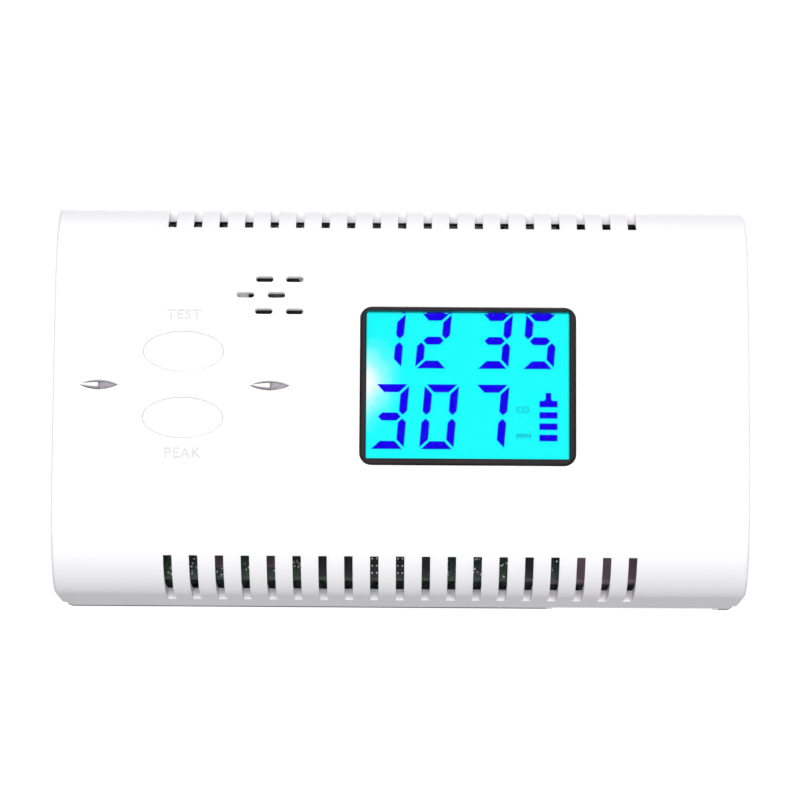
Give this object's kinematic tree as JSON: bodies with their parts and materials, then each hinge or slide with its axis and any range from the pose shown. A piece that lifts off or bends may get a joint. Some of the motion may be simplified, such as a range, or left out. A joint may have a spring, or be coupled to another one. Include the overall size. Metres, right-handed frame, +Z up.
{
  "type": "carbon monoxide detector",
  "caption": "Wall-hung carbon monoxide alarm: crowned slotted case, backlit display in a dark bezel, oval push buttons, indicator lenses and a sliding battery door.",
  "frame": {"origin": "centre of the flat back face, where the case meets the wall", "axes": "+Y into the wall, so the front faces -Y; +Z up as hung; +X to the right as a reader of the display sees it"},
  "size_m": [0.12, 0.038, 0.068],
  "materials": {
    "housing_white": "fine satin moulding",
    "rear_white": "fine texture",
    "door_white": "fine texture",
    "button_white": "satin",
    "bezel_dark": "satin black",
    "window_clear": "clear polished sheet",
    "lcd_panel": "backlit panel",
    "backlight_guide": "diffusing light guide",
    "holder_black": "moulded",
    "zebra_rubber": "layered silicone",
    "board_green": "solder mask",
    "switch_black": "moulded",
    "plunger_grey": "moulded",
    "light_pipe_clear": "clear moulding",
    "led_red": "tinted epoxy",
    "led_green": "tinted epoxy",
    "sounder_black": "moulded",
    "disc_brass": "stamped",
    "sensor_steel": "drawn can",
    "sensor_cap_black": "moulded",
    "pin_gold": "plated",
    "chip_black": "moulded package",
    "capacitor_sleeve": "shrunk sleeve",
    "inductor_copper": "enamelled winding",
    "cell_wrap": "plain printed sleeve",
    "contact_steel": "nickel plate",
    "lead_red": "insulated lead",
    "lead_black": "insulated lead",
    "screw_steel": "zinc plate"
  },
  "bodies": {
    "case": {"front_housing": "housing_white", "rear_housing": "rear_white", "display_bezel": "bezel_dark", "display_window": "window_clear", "lcd_glass": "lcd_panel", "lcd_backlight": "backlight_guide", "lcd_holder": "holder_black", "zebra_connector": "zebra_rubber", "main_pcb": "board_green", "test_switch_body": "switch_black", "peak_switch_body": "switch_black", "alarm_light_pipe": "light_pipe_clear", "power_light_pipe": "light_pipe_clear", "alarm_led": "led_red", "power_led": "led_green", "buzzer_case": "sounder_black", "buzzer_disc": "disc_brass", "co_sensor_can": "sensor_steel", "co_sensor_cap": "sensor_cap_black", "co_sensor_pin_1": "pin_gold", "co_sensor_pin_2": "pin_gold", "microcontroller": "chip_black", "lcd_driver": "chip_black", "capacitor": "capacitor_sleeve", "inductor": "inductor_copper", "crystal": "sensor_steel", "battery_1": "cell_wrap", "battery_2": "cell_wrap", "battery_bridge_plate": "contact_steel", "battery_positive_plate": "contact_steel", "battery_negative_plate": "contact_steel", "battery_spring_lower": "contact_steel", "battery_spring_upper": "contact_steel", "battery_lead_red": "lead_red", "battery_lead_black": "lead_black", "housing_screw_1": "screw_steel", "housing_screw_2": "screw_steel", "housing_screw_3": "screw_steel", "housing_screw_4": "screw_steel", "lcd_holder_screw_1": "screw_steel", "lcd_holder_screw_2": "screw_steel"},
    "test_button": {"test_button": "button_white", "test_switch_plunger": "plunger_grey"},
    "peak_button": {"peak_button": "button_white", "peak_switch_plunger": "plunger_grey"},
    "battery_door": {"battery_door": "door_white"}
  },
  "joints": [
    {"name": "test_button_press", "type": "slide", "parent": "case", "child": "test_button", "axis": [0, 1, 0], "range_m": [0, 0.0008], "stiffness_N_per_m": 1200},
    {"name": "peak_button_press", "type": "slide", "parent": "case", "child": "peak_button", "axis": [0, 1, 0], "range_m": [0, 0.0008], "stiffness_N_per_m": 1200},
    {"name": "battery_door_slide", "type": "slide", "parent": "case", "child": "battery_door", "axis": [0, 0, -1], "range_m": [0, 0.062]}
  ]
}
